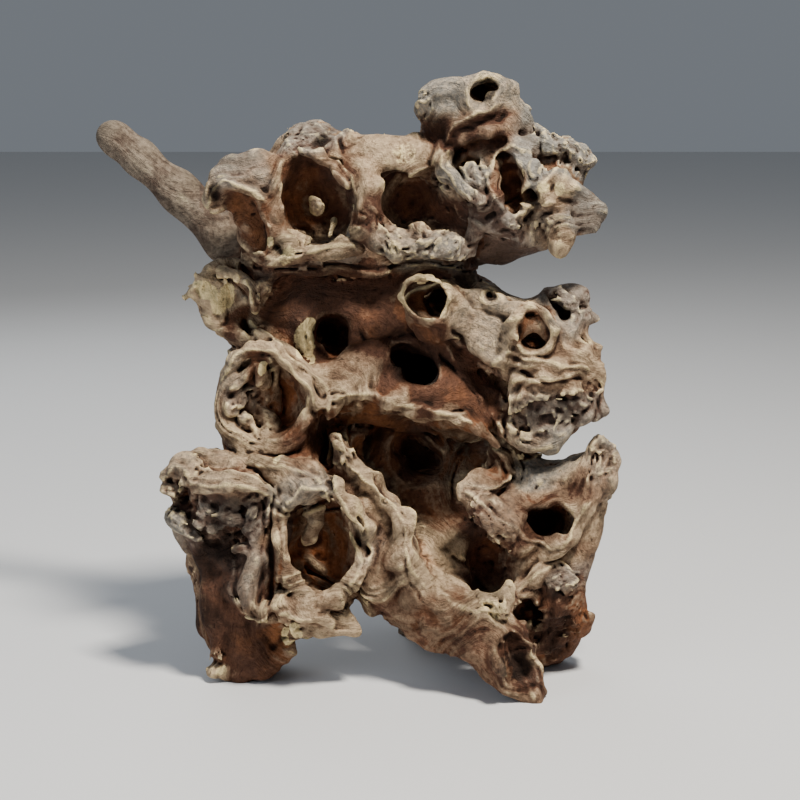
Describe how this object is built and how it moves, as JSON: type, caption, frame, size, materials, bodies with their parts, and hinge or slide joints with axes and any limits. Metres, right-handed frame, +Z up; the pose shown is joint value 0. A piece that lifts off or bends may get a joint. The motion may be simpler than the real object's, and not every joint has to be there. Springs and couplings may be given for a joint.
{
  "type": "driftwood",
  "caption": "Upright weathered root burl with open hollows, a leaning crown, a side arm and a straight branch, standing on worn roots.",
  "frame": {"origin": "on the surface it stands on, under the middle of its bounding box", "axes": "+Z up, the hollowed front faces -Y, the straight branch leaves towards -X"},
  "size_m": [0.419, 0.2197, 0.4747],
  "materials": {
    "branch_wood": "dry, barkless, grey tan",
    "crown_wood": "weathered grey crust over brown",
    "arm_wood": "weathered tan with grain ridges",
    "trunk_wood": "matte red brown with wavy grain",
    "hollow_wood": "rotted orange brown",
    "foot_wood": "brown with tan ridges"
  },
  "bodies": {
    "root": {"long_branch": "branch_wood", "crown_knob": "crown_wood", "crown": "crown_wood", "right_arm": "arm_wood", "left_foot": "foot_wood", "front_foot": "foot_wood", "right_foot": "foot_wood", "back_foot": "foot_wood", "hollow_wall": "hollow_wood", "trunk_wall": "trunk_wood"}
  },
  "joints": []
}
